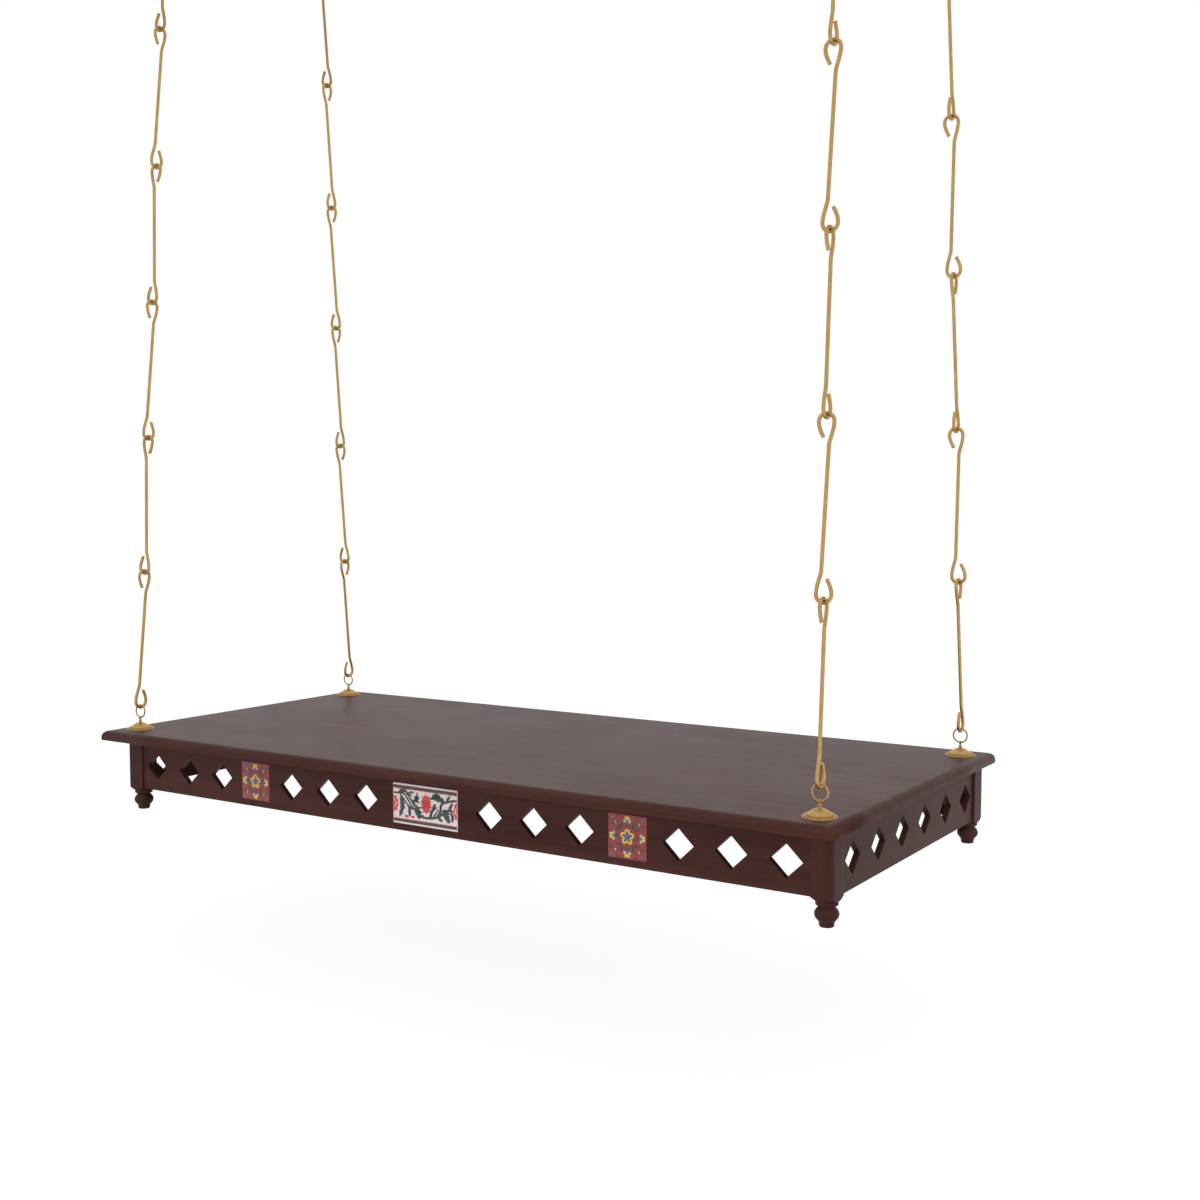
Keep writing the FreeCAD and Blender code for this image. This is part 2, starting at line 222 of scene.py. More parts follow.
def woodMaterial(name, turn, shift):
    material, tree, shader = newMaterial(name)
    place = objectPlace(tree)
    mapped = addNode(tree, "ShaderNodeMapping", {"Vector": place, "Rotation": turn, "Location": shift})
    look = {"Vector": mapped.outputs[0], "Dark": stain["dark"], "Light": stain["light"]}
    grain = useGroup(tree, grainGroup, look)
    marks = useGroup(tree, handlingGroup, {"Vector": place, **stain["marks"]})
    rubbed = mathNode(tree, "MULTIPLY", ramp(tree, pointiness(tree), *stain["rubbed"]), marks["Mask"])
    rubbed = mathNode(tree, "MULTIPLY", rubbed, stain["rubbedShare"])
    color = mixColor(tree, rubbed, grain["Color"], stain["wear"])
    rough = mathNode(tree, "ADD", marks["Roughness"], grain["Roughness"])
    finishShader(tree, shader, color, rough, grain["Height"], stain["bump"])
    shader.inputs["Specular IOR Level"].default_value = stain["shine"]
    return material


woodAlongX = woodMaterial("woodAlongX", (0, 0, 0), (0.0, 0.37, 0.11))
woodAlongY = woodMaterial("woodAlongY", (0, 0, -quarter), (0.21, 0.05, 0.43))
woodAlongZ = woodMaterial("woodAlongZ", (0, quarter, 0), (0.63, 0.17, 0.29))
print("wood materials ready")


# Metals

metalLook = {
    "speck": {"Scale": 900.0, "Detail": 3.0},
    "tone": (0.3, 0.55),            # of the specks and the handling marks
    "facing": 0.3,
    # painted shade: the colour darkens to the rim shade where a face turns edge-on to the view
    "grazingShadeRange": ((0.6, 0.0), (1.0, 1.0)),
    # painted shade in grooves and recesses, picked out by pointiness
    "hollowRange": ((0.40, 0.95), (0.49, 0.0)),
    "bump": (0.2, 0.00003),
}
brassFinish = {
    "bright": shade(195, 161, 104),
    "dull": shade(181, 146, 89),
    # rim is a painted shade for faces seen edge-on
    "rim": shade(152, 119, 70),
    # the next colour is painted shade laid into grooves and recesses
    "hollow": shade(70, 50, 26),
    "marks": {"Size": 60.0, "Amount": 0.10, "Base": 0.42},
}
zincFinish = {
    "bright": shade(176, 178, 176),
    "dull": shade(132, 134, 130),
    # rim is a painted shade for faces seen edge-on
    "rim": shade(104, 106, 104),
    # the next colour is painted shade laid into grooves and recesses
    "hollow": shade(74, 76, 74),
    "marks": {"Size": 160.0, "Amount": 0.14, "Base": 0.34},
}


def metalMaterial(name, finish):
    material, tree, shader = newMaterial(name)
    place = objectPlace(tree)
    marks = useGroup(tree, handlingGroup, {"Vector": place, **finish["marks"]})
    speck = noiseNode(tree, place, metalLook["speck"]).outputs["Fac"]
    tone = weighted(tree, speck, marks["Mask"], *metalLook["tone"])
    color = mixColor(tree, tone, finish["bright"], finish["dull"])
    # painted shade: darker towards the outline, where a face turns edge-on to the view
    facing = addNode(tree, "ShaderNodeLayerWeight", {"Blend": metalLook["facing"]}).outputs["Facing"]
    color = mixColor(tree, ramp(tree, facing, *metalLook["grazingShadeRange"]), color, finish["rim"])
    # painted shade: darker in grooves and recesses, found by pointiness
    hollow = ramp(tree, pointiness(tree), *metalLook["hollowRange"])
    color = mixColor(tree, hollow, color, finish["hollow"])
    finishShader(tree, shader, color, marks["Roughness"], speck, metalLook["bump"])
    shader.inputs["Metallic"].default_value = 1.0
    return material


brass = metalMaterial("satinBrass", brassFinish)
zinc = metalMaterial("zincPlate", zincFinish)
print("metals ready")


# Glazes of the painted tiles

glazeLook = {
    "pool": {"Scale": 140.0, "Detail": 4.0},
    "brush": {"Scale": 600.0, "Detail": 2.0},
    "tone": (0.35, 0.65),           # of the brush and the pooled glaze
    "toneRange": ((0.35, 0.0), (0.65, 1.0)),
    "marks": {"Size": 55.0, "Amount": 0.12, "Base": 0.16},
    "shine": 0.4,
    "bump": (0.3, 0.0002),
}
glazes = {
    "redGround": (shade(146, 62, 63), shade(130, 51, 55)),
    "redShade": (shade(116, 52, 62), shade(98, 46, 56)),
    "whiteGround": (shade(230, 214, 214), shade(214, 196, 197)),
    "leafDark": (shade(62, 76, 66), shade(48, 60, 54)),
    "leafPale": (shade(218, 206, 204), shade(198, 188, 184)),
    "scroll": (shade(68, 64, 56), shade(56, 54, 48)),
    "flowerRed": (shade(206, 62, 66), shade(184, 48, 56)),
    "yellow": (shade(214, 202, 88), shade(198, 180, 68)),
    "paleYellow": (shade(206, 192, 132), shade(188, 166, 104)),
    "blue": (shade(92, 112, 178), shade(74, 90, 152)),
    "dullBlue": (shade(98, 96, 136), shade(84, 80, 118)),
    "ink": (shade(40, 48, 54), shade(32, 38, 44)),
}


def glazeMaterial(name, main, deep):
    material, tree, shader = newMaterial(name)
    place = objectPlace(tree)
    pool, brush = (noiseNode(tree, place, glazeLook[part]).outputs["Fac"] for part in ("pool", "brush"))
    tone = weighted(tree, brush, pool, *glazeLook["tone"])
    color = mixColor(tree, ramp(tree, tone, *glazeLook["toneRange"]), main, deep)
    marks = useGroup(tree, handlingGroup, {"Vector": place, **glazeLook["marks"]})
    finishShader(tree, shader, color, marks["Roughness"], pool, glazeLook["bump"])
    shader.inputs["Specular IOR Level"].default_value = glazeLook["shine"]
    return material


glaze = {name: glazeMaterial(name, main, deep) for name, (main, deep) in glazes.items()}
print("glazes ready")


# Making pieces

weldGap = 1e-7              # metres, for points that a turned shape or a rod holds twice
packedWeldGap = 1e-6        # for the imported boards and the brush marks
cornerAngle = 60            # degrees between the faces at a corner that is softened


def toMesh(bm, name):
    mesh = bpy.data.meshes.new(name)
    bm.to_mesh(mesh)
    bm.free()
    return mesh


def finishPiece(bm, name, body, materials, nodes, sharp):
    bmesh.ops.recalc_face_normals(bm, faces=bm.faces)
    mesh = toMesh(bm, name)
    for material in materials:
        mesh.materials.append(material)
    mesh.shade_smooth()
    mesh.set_sharp_from_angle(angle=math.radians(sharp))
    piece = bpy.data.objects.new(name, mesh)
    scene.collection.objects.link(piece)
    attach(piece, body)
    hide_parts(*nodes)
    return piece


def keepFlat(piece):
    # broad faces stay flat beside small rounded edges
    flat = piece.modifiers.new("flatFaces", "WEIGHTED_NORMAL")
    flat.keep_sharp = True
    flat.weight = 100


def addPart(bm, part, placement):
    # moves a finished shape into place and joins it to the piece
    bmesh.ops.recalc_face_normals(part, faces=part.faces)
    part.transform(placement)
    mesh = toMesh(part, "part")
    bm.from_mesh(mesh)
    bpy.data.meshes.remove(mesh)


def sharpEdges(bm, angle):
    return [e for e in bm.edges if len(e.link_faces) == 2 and e.calc_face_angle(0) > math.radians(angle)]


def soften(bm, edges, width, segments=2):
    bmesh.ops.bevel(
        bm, geom=edges, offset=width, offset_type="OFFSET", affect="EDGES", segments=segments,
        profile=0.5, material=-1, clamp_overlap=True,
    )


def cutAcross(bm, place, way, clear=False):
    return bmesh.ops.bisect_plane(
        bm, geom=bm.verts[:] + bm.edges[:] + bm.faces[:], dist=weldGap, plane_co=place, plane_no=way,
        clear_outer=clear,
    )["geom_cut"]


def fullTurn(bm, steps, axis=(0, 0, 1)):
    # spins all that is drawn right round the axis
    bmesh.ops.spin(
        bm, geom=bm.verts[:] + bm.edges[:], cent=(0, 0, 0), axis=axis, dvec=(0, 0, 0), angle=math.tau,
        steps=steps, use_merge=True, use_duplicate=False,
    )
    bmesh.ops.remove_doubles(bm, verts=bm.verts, dist=weldGap)


def turnedShape(bm, outline, steps):
    # spins (radius, height) points, given in millimetres, round Z
    points = [bm.verts.new((radius * mm, 0, height * mm)) for radius, height in outline]
    for pair in zip(points, points[1:]):
        bm.edges.new(pair)
    fullTurn(bm, steps)


def rodSection(bm, sides, wide, high, place, turn=0.0):
    # an oval across a rod, drawn flat, turned round X and moved to its place
    made = bmesh.ops.create_circle(bm, segments=sides, radius=1.0, cap_ends=False)["verts"]
    bmesh.ops.scale(bm, vec=(wide * mm, high * mm, 1), verts=made)
    bmesh.ops.rotate(bm, cent=(0, 0, 0), matrix=Matrix.Rotation(turn, 3, "X"), verts=made)
    bmesh.ops.translate(bm, vec=Vector(place) * mm, verts=made)


def lineAt(points, share):
    # a smooth line through the points
    last = len(points) - 1
    span = min(int(share * last), last - 1)
    f = share * last - span
    before, start, end, after = (points[min(max(span + step, 0), last)] for step in (-1, 0, 1, 2))
    bend = (2 * before - 5 * start + 4 * end - after) * f ** 2
    bend += (3 * start - before - 3 * end + after) * f ** 3
    return start + ((end - before) * f + bend) / 2


def smoothLine(knots, steps):
    # the smooth line's own points, in equal steps from knot to knot
    knots = [Vector(knot) for knot in knots]
    count = steps * (len(knots) - 1)
    return [lineAt(knots, step / count) for step in range(count + 1)]


# Wooden boards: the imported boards, their edges rubbed round

boards = {                  # node, material and width of the rubbed edge
    "plankBoard": ("seat_plank", woodAlongX, 0.8),
    "frontBoard": ("front_apron", woodAlongX, 0.6),
    "backBoard": ("back_apron", woodAlongX, 0.6),
    "leftBoard": ("left_apron", woodAlongY, 0.6),
    "rightBoard": ("right_apron", woodAlongY, 0.6),
    "leftRail": ("cross_rail_left", woodAlongY, 1.2),
    "middleRail": ("cross_rail_centre", woodAlongY, 1.2),
    "rightRail": ("cross_rail_right", woodAlongY, 1.2),
    "cornerBraces": ("corner_blocks", woodAlongX, 0.8),
}
boardSizes = {"flatAngle": 0.4, "edgeAngle": 30, "sharp": 32}
plankSizes = {
    "round": 14.0,          # reach of the rounding of the upper edge
    "rimBand": 1.0,
    "lowBand": 0.1,
    "turnIn": 150.0,        # the corners' smoothing ends this far along the edges
}


def onLowRim(edge):
    # the plank's lower edge is rubbed; its upper one is round already
    rim = plankHigh - Vector((1, 1, 0)) * plankSizes["rimBand"] * mm
    low = plankLow.z + plankSizes["lowBand"] * mm
    ends = [vert.co for vert in edge.verts]
    return all((abs(p.x) > rim.x or abs(p.y) > rim.y) and p.z < low for p in ends)


def smoothCorners(mesh):
    # the rounded edge runs on round the plank's corners without a crease
    inset = plankSizes["round"] * mm
    for edge in mesh.edges:
        ends = [mesh.vertices[index].co for index in edge.vertices]
        outer = all(abs(p.x) > plankHigh.x - inset and abs(p.y) > plankHigh.y - inset for p in ends)
        if outer and max(p.z for p in ends) > plankLow.z + mm:
            edge.use_edge_sharp = False


for pieceName, (node, material, rubbedWidth) in boards.items():
    isPlank = node == "seat_plank"
    bm = bmesh.new()
    bm.from_mesh(frame["nodes"][node].data)
    bmesh.ops.remove_doubles(bm, verts=bm.verts, dist=packedWeldGap)
    flat = math.radians(boardSizes["flatAngle"])
    bmesh.ops.dissolve_limit(bm, angle_limit=flat, verts=bm.verts, edges=bm.edges)
    rubbed = sharpEdges(bm, boardSizes["edgeAngle"])
    if isPlank:
        rubbed = [e for e in rubbed if onLowRim(e)]
    soften(bm, rubbed, rubbedWidth * mm)
    if isPlank:
        for axis in (Vector((1, 0, 0)), Vector((0, 1, 0))):
            for side in (-1, 1):
                reach = plankHigh.dot(axis) - plankSizes["turnIn"] * mm
                cutAcross(bm, axis * side * reach, axis)
    board = finishPiece(bm, pieceName, "seat", [material], [node], boardSizes["sharp"])
    keepFlat(board)
    if isPlank:
        smoothCorners(board.data)
print("boards ready")


# Corner posts with turned feet

legSizes = {
    "side": 40.0,
    "square": 113.5,        # down to the collar
    "coneRadius": 18.6,
    "coneRise": 4.4,
    "spare": 1.0,           # of the cone outside the square's corners
    "arris": 1.3,           # rounding of the upright edges
    "foot": [               # radius and height from the collar's top
        (17.9, 0.0), (18.2, -0.9), (18.25, -3.0), (18.2, -5.0), (17.6, -6.0), (16.2, -6.6), (14.6, -7.4),
        (13.6, -9.4), (17.2, -13.6), (19.75, -19.3), (18.4, -25.8), (13.6, -31.7), (12.4, -35.3),
        (11.95, -38.8), (11.6, -39.9), (10.8, -40.6),
    ],
    "footBottom": -40.7,
    "coneSteps": 96,
    "footSteps": 48,
    "sharp": 28,
}


def cornerPost(bm, centre):
    half = legSizes["side"] / 2
    corner = half * math.sqrt(2)
    coneRadius, low = legSizes["coneRadius"], -legSizes["square"]
    slope = legSizes["coneRise"] / ((half + corner) / 2 - coneRadius)
    reach = corner + legSizes["spare"]
    top = low + (reach - coneRadius) * slope
    post = bmesh.new()
    turnedShape(post, [(0, low), (coneRadius, low), (reach, top), (reach, 0), (0, 0)], legSizes["coneSteps"])
    for way in ((1, 0, 0), (-1, 0, 0), (0, 1, 0), (0, -1, 0)):
        cut = cutAcross(post, Vector(way) * half * mm, way, clear=True)
        bmesh.ops.contextual_create(post, geom=[e for e in cut if isinstance(e, bmesh.types.BMEdge)])
    bmesh.ops.recalc_face_normals(post, faces=post.faces)
    upright = [
        e for e in sharpEdges(post, cornerAngle)
        if abs((e.verts[0].co - e.verts[1].co).normalized().z) > 0.9
    ]
    soften(post, upright, legSizes["arris"] * mm, 3)
    foot = bmesh.new()
    outline = [(0, 0), *smoothLine(legSizes["foot"], 3), (0, legSizes["footBottom"])]
    turnedShape(foot, [(radius, low + height) for radius, height in outline], legSizes["footSteps"])
    for part in (post, foot):
        addPart(bm, part, Matrix.Translation(centre))


legLow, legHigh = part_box("corner_legs")
legs = bmesh.new()
halfPost = legSizes["side"] / 2 * mm
for x in (legLow.x + halfPost, legHigh.x - halfPost):
    for y in (legLow.y + halfPost, legHigh.y - halfPost):
        cornerPost(legs, Vector((x, y, plankLow.z)))
sharp = legSizes["sharp"]
posts = finishPiece(legs, "cornerPosts", "seat", [woodAlongZ], ["corner_legs"], sharp)
keepFlat(posts)
print("corner posts ready")


# Brass roses

roseSizes = {
    "outline": [            # radius and height, over the rim, the grooves, the dome and the eye's neck
        (28.1, 0.0), (28.6, 0.25), (28.75, 0.8), (28.0, 1.7), (26.2, 0.75), (25.45, 1.6), (25.7, 3.1),
        (24.5, 3.75), (23.2, 2.75), (22.15, 3.0), (22.3, 4.8), (21.9, 5.5), (21.2, 5.7), (19.9, 5.05),
        (18.4, 6.5), (16.8, 8.0), (11.4, 11.45), (5.6, 13.95), (3.1, 14.75), (2.95, 15.6), (2.75, 16.0),
        (2.2, 16.25), (3.05, 17.7), (2.95, 19.2), (1.8, 20.9), (2.1, 22.1),
    ],
    "top": 22.4,
    "steps": 72,
    "eyeCentre": 24.2,
    "eyeRadius": 3.17,
    "eyeWall": 0.73,
    "eyeWidth": 1.3,
    "eyeSides": 16,
    "eyeSteps": 32,
    "eyeHang": 24.7,        # from the rose's face to where the ring hangs
    "sharp": 50,
}


def brassRose(bm, place, upward):
    shape = bmesh.new()
    outline = [(0, 0), *smoothLine(roseSizes["outline"], 2), (0, roseSizes["top"])]
    turnedShape(shape, outline, roseSizes["steps"])
    eye = bmesh.new()
    wide, high = roseSizes["eyeWidth"], roseSizes["eyeWall"]
    rodSection(eye, roseSizes["eyeSides"], wide, high, (0, roseSizes["eyeRadius"], 0))
    fullTurn(eye, roseSizes["eyeSteps"], (1, 0, 0))
    eye.transform(Matrix.Translation((0, 0, roseSizes["eyeCentre"] * mm)))
    turn = Matrix.Identity(4) if upward else Matrix.Rotation(math.pi, 4, "X")
    for part in (shape, eye):
        addPart(bm, part, Matrix.Translation(place) @ turn)


ceilingEyes = {c: jointPlace["swing_" + c] for c in corners}
seatEyes = {c: jointPlace["seat_tilt" if c == "fl" else "seat_ring_turn_" + c] for c in corners}
eyeHang = Vector((0, 0, roseSizes["eyeHang"] * mm))
for pieceName, node, body, eyes, upward in (
    ("seatRoses", "seat_roses", "seat", seatEyes, True),
    ("ceilingRoses", "ceiling_roses", "ceiling_fittings", ceilingEyes, False),
):
    bm = bmesh.new()
    for eye in eyes.values():
        brassRose(bm, eye - eyeHang if upward else eye + eyeHang, upward)
    finishPiece(bm, pieceName, body, [brass], [node], roseSizes["sharp"])
print("roses ready")


# Rings and hooked links

chainSizes = {
    "ringRadius": 13.5,
    "ringRod": 1.5,
    "ringSides": 14,
    "ringSteps": 56,
    "rod": 3.2,
    "rodEnd": 0.5,          # rounding of a rod's cut end
    "pitch": 284.8,
    "links": 7,
    "slack": 0.3,           # play in each hook
    "crown": 13.0,
    "crownEnd": 94.0,       # degrees of arc on each side of the hook's lowest point
    "tip": (4.9, 36.5),
    "tipLean": 28.0,
    "tipHandles": (4.0, 7.0),
    "insideHandle": 9.0,
    "outsideHandle": 16.0,
    "neck": (4.55, 50.0),
    "neckHandles": (8.0, 55.0),
    "backOffset": 2.85,     # clears the ring at both ends of the swing
    "sharp": 50,
}


def direction(degrees):
    # travel along a hook, as an angle from straight up
    return Vector((math.sin(math.radians(degrees)), math.cos(math.radians(degrees))))


def hookPoints():
    # (place, travel, handle before, handle after) from the tip to the middle of the shank
    crown, crownEnd = chainSizes["crown"], chainSizes["crownEnd"]
    turn = math.radians(crownEnd)
    arc = 4 / 3 * math.tan(turn / 4) * crown
    side = crown * math.sin(turn)
    rise = crown - crown * math.cos(turn)
    length = chainSizes["pitch"] + 2 * chainSizes["rod"] + chainSizes["slack"]
    neckX, neckZ = chainSizes["neck"]
    shank = Vector((2 * neckX, length - 2 * neckZ)).normalized()
    lean = crownEnd - 90
    return length, [
        (Vector(chainSizes["tip"]), -direction(-chainSizes["tipLean"]), *chainSizes["tipHandles"]),
        (Vector((side, rise)), -direction(-lean), chainSizes["insideHandle"], arc),
        (Vector((0, 0)), Vector((-1, 0)), arc, arc),
        (Vector((-side, rise)), direction(lean), arc, chainSizes["outsideHandle"]),
        (Vector((-neckX, neckZ)), shank, *chainSizes["neckHandles"]),
    ]


def bentLink():
    length, points = hookPoints()
    far = [
        (Vector((-place.x, length - place.y)), travel, after, before)
        for place, travel, before, after in reversed(points)
    ]
    curve = bpy.data.curves.new("linkLine", "CURVE")
    curve.dimensions = "3D"
    curve.resolution_u = 14
    curve.bevel_depth = chainSizes["rod"] * mm
    curve.bevel_resolution = 6
    curve.use_fill_caps = True
    spline = curve.splines.new("BEZIER")
    spline.bezier_points.add(len(points) + len(far) - 1)
    for knot, (place, travel, before, after) in zip(spline.bezier_points, points + far):
        knot.handle_left_type = knot.handle_right_type = "FREE"
        knot.co = Vector((place.x, 0, place.y)) * mm
        knot.handle_left = knot.co - Vector((travel.x, 0, travel.y)) * before * mm
        knot.handle_right = knot.co + Vector((travel.x, 0, travel.y)) * after * mm
    holder = bpy.data.objects.new("linkLine", curve)
    scene.collection.objects.link(holder)
    line = bpy.data.meshes.new_from_object(holder)
    bpy.data.objects.remove(holder)
    bm = bmesh.new()
    bm.from_mesh(line)
    bmesh.ops.remove_doubles(bm, verts=bm.verts, dist=weldGap)
    soften(bm, sharpEdges(bm, cornerAngle), chainSizes["rodEnd"] * mm)
    bmesh.ops.recalc_face_normals(bm, faces=bm.faces)
    return toMesh(bm, "bentLink")


def wireRing():
    bm = bmesh.new()
    rod = chainSizes["ringRod"]
    rodSection(bm, chainSizes["ringSides"], rod, rod, (chainSizes["ringRadius"], 0, 0), quarter)
    fullTurn(bm, chainSizes["ringSteps"])
    bmesh.ops.rotate(bm, cent=(0, 0, 0), matrix=Matrix.Rotation(quarter, 3, "X"), verts=bm.verts)
    bmesh.ops.recalc_face_normals(bm, faces=bm.faces)
    return toMesh(bm, "wireRing")


def squareTo(way, along):
    return (way - along * way.dot(along)).normalized()


def placedCopy(source, origin, way, along, name, body, node):
    across = squareTo(way, along)
    turn = Matrix((across, along.cross(across), along)).transposed().to_4x4()
    bm = bmesh.new()
    bm.from_mesh(source)
    bm.transform(Matrix.Translation(origin) @ turn)
    finishPiece(bm, name, body, [brass], [node], chainSizes["sharp"])


linkMesh = bentLink()
ringMesh = wireRing()
xWay, yWay = Vector((1, 0, 0)), Vector((0, 1, 0))
chainLength = (jointPlace["sway_fl"] - jointPlace["seat_ring_turn_fl"]).length
for corner, (sideX, sideY) in corners.items():
    ceilingEye, seatEye, topHook = ceilingEyes[corner], seatEyes[corner], jointPlace["sway_" + corner]
    line = (ceilingEye - seatEye).normalized()
    radius = line * chainSizes["ringRadius"] * mm
    for ringName, place, ringNode in (
        ("seatRing_", seatEye + radius, "seat_ring_"),
        ("ceilingRing_", ceilingEye - radius, "ceiling_ring_"),
    ):
        placedCopy(ringMesh, place, xWay, line, ringName + corner, ringNode + corner, ringNode + corner)
    along = line
    if sideY > 0:
        along = (line * chainLength - yWay * chainSizes["backOffset"] * mm).normalized()
    bottomHook = topHook - along * chainLength
    for k in range(chainSizes["links"]):
        way = xWay * sideX if k % 2 else yWay * -sideY
        origin = bottomHook + along * (k * chainSizes["pitch"] * mm)
        count = corner + "_" + str(k + 1)
        placedCopy(linkMesh, origin, way, along, "hookLink_" + count, "chain_" + corner, "link_" + count)
print("chains ready")


# Steel: screws and bolts as packed, studs with a screw thread

for node in ("plank_screws", "seat_bolts"):
    data = frame["nodes"][node].data
    data.materials.clear()
    data.materials.append(zinc)

studSizes = {
    "end": 3.9,             # radius of the end in the rose
    "endLength": 8.6,
    "root": 4.25,
    "crest": 4.9,
    "length": 79.9,
    "bevel": 0.6,
    "step": 0.05,           # height where the thicker shank starts
    "sides": 32,
    "pitch": 1.5,
    "ridge": 0.45,          # half height of the thread's ridge, for a pitch of 1
    "turns": 51,
    "steps": 18,            # in a turn
    "sharp": 25,
}


def threadedStud(bm, place):
    root, end, length, low = studSizes["root"], studSizes["end"], studSizes["length"], -studSizes["endLength"]
    pitch, bevel, step = studSizes["pitch"], studSizes["bevel"], studSizes["step"]
    shank = bmesh.new()
    turnedShape(shank, [
        (0, low), (end - bevel, low), (end, low + bevel), (end, step), (root, step),
        (root, length - bevel), (root - bevel, length), (0, length),
    ], studSizes["sides"])
    ridge = bmesh.new()
    rodSection(ridge, 4, studSizes["crest"] - root, pitch * studSizes["ridge"], (root, 0, pitch), quarter)
    first = ridge.edges[:]
    wound = bmesh.ops.spin(
        ridge, geom=ridge.verts[:] + first, cent=(0, 0, 0), axis=(0, 0, 1),
        angle=math.tau * studSizes["turns"], dvec=(0, 0, pitch * mm / studSizes["steps"]),
        steps=studSizes["turns"] * studSizes["steps"], use_merge=False, use_duplicate=False,
    )
    last = [e for e in wound["geom_last"] if isinstance(e, bmesh.types.BMEdge)]
    for rim in (first, last):
        bmesh.ops.contextual_create(ridge, geom=rim)
    for part in (shank, ridge):
        addPart(bm, part, Matrix.Translation(place))


studs = bmesh.new()
for eye in ceilingEyes.values():
    threadedStud(studs, Vector((eye.x, eye.y, 0)))
sharp = studSizes["sharp"]
finishPiece(studs, "threadedStuds", "ceiling_fittings", [zinc], ["ceiling_studs"], sharp)
print("steel ready")


# Painted tiles: a glazed body with brush marks laid over each other

tileSizes = {
    "edge": 0.7,
    "sink": 0.18,           # of the body's face below the marks
    "firstCoat": 0.02,
    "coat": 0.018,
    "order": 0.0001,        # each mark stands this much above the one before it
    "mark": 0.12,
    "sway": 0.4,            # how far a mark strays from its drawn line
    "swaySize": 0.15,
    "swayShift": 10,        # makes each tile stray in its own way
    "swaySeed": 3,
    "dotSides": 18,
    "strokeSteps": 8,       # from one point of a stroke to the next
    "tornSteps": 30,
    "margin": 0.9,
    "sharp": 40,
}
noise.seed_set(tileSizes["swaySeed"])

brushShapes = {             # share of its width that a stroke has at t along it, from 0 to 1
    "band": lambda t: 1.0,
    "even": lambda t: min(1.0, 12 * t * (1 - t)) ** 0.5,
    "leaf": lambda t: math.sin(math.pi * t) ** 0.8,
    "tear": lambda t: math.sin(math.pi * t ** 1.7),
    "torn": lambda t: math.sin(math.pi * t) ** 0.6 * (1 - 0.5 * (t * 5 % 1)),
}


def strokeSpots(bm, shape, width, points):
    # the new vertices of a dot or a stroke, each with its place on the tile
    if len(points) == 1:
        sides = tileSizes["dotSides"]
        made = bmesh.ops.create_circle(bm, segments=sides, radius=width / 2, cap_ends=True)["verts"]
        return {vert: points[0] + vert.co.xy for vert in made}
    steps = tileSizes["tornSteps"] if shape == "torn" else tileSizes["strokeSteps"] * (len(points) - 1)
    made = bmesh.ops.create_grid(bm, x_segments=steps, y_segments=2, size=1.0)["verts"]
    spots = {}
    for vert in made:
        share = (vert.co.x + 1) / 2
        ahead = lineAt(points, min(share + 0.01, 1)) - lineAt(points, max(share - 0.01, 0))
        side = Vector((-ahead.y, ahead.x)).normalized()
        spots[vert] = lineAt(points, share) + side * vert.co.y * width / 2 * brushShapes[shape](share)
    return spots


def brushMark(bm, centre, half, depth, mark, index):
    shape, width, *points = mark
    spots = strokeSpots(bm, shape, width, [Vector(point) for point in points])
    for vert, spot in spots.items():
        where = Vector((*(spot * tileSizes["swaySize"]), centre.x * tileSizes["swayShift"]))
        sway = noise.noise_vector(where).xy * tileSizes["sway"]
        x, z = (max(-limit, min(limit, value)) for value, limit in zip(spot + sway, half))
        vert.co = centre + Vector((x * mm, -depth, z * mm))
    bmesh.ops.remove_doubles(bm, verts=list(spots), dist=packedWeldGap)
    made = [vert for vert in spots if vert.is_valid]
    faces = list(dict.fromkeys(face for vert in made for face in vert.link_faces))
    grown = bmesh.ops.extrude_face_region(bm, geom=faces, use_keep_orig=True)
    back = [item for item in grown["geom"] if isinstance(item, bmesh.types.BMVert)]
    bmesh.ops.translate(bm, vec=(0, tileSizes["mark"] * mm + depth, 0), verts=back)
    for face in {face for vert in made + back for face in vert.link_faces}:
        face.material_index = index


def tileBody(bm, low, high):
    made = bmesh.ops.create_cube(bm, size=1.0)["verts"]
    sink = Vector((0, tileSizes["sink"] * mm, 0))
    bmesh.ops.scale(bm, vec=high - low - sink, verts=made)
    bmesh.ops.translate(bm, vec=(low + high + sink) / 2, verts=made)
    soften(bm, bm.edges[:], tileSizes["edge"] * mm, 3)


def turnPoint(point, degrees):
    angle = math.radians(degrees)
    x, y = point
    return x * math.cos(angle) - y * math.sin(angle), x * math.sin(angle) + y * math.cos(angle)


def polar(radius, degrees):
    return turnPoint((radius, 0), degrees)


# Coats are laid in this order, and places are in millimetres from a tile's middle
squareTile = {
    "coats": ("redShade", "scroll", "yellow", "paleYellow", "leafDark", "dullBlue", "blue", "ink"),
    "petals": 5,
    "petalPlace": 8.7,
    "petalRadius": 3.5,
    "petalGap": 60,         # degrees of each petal's ring left open
    "sideFlower": 25.6,
}


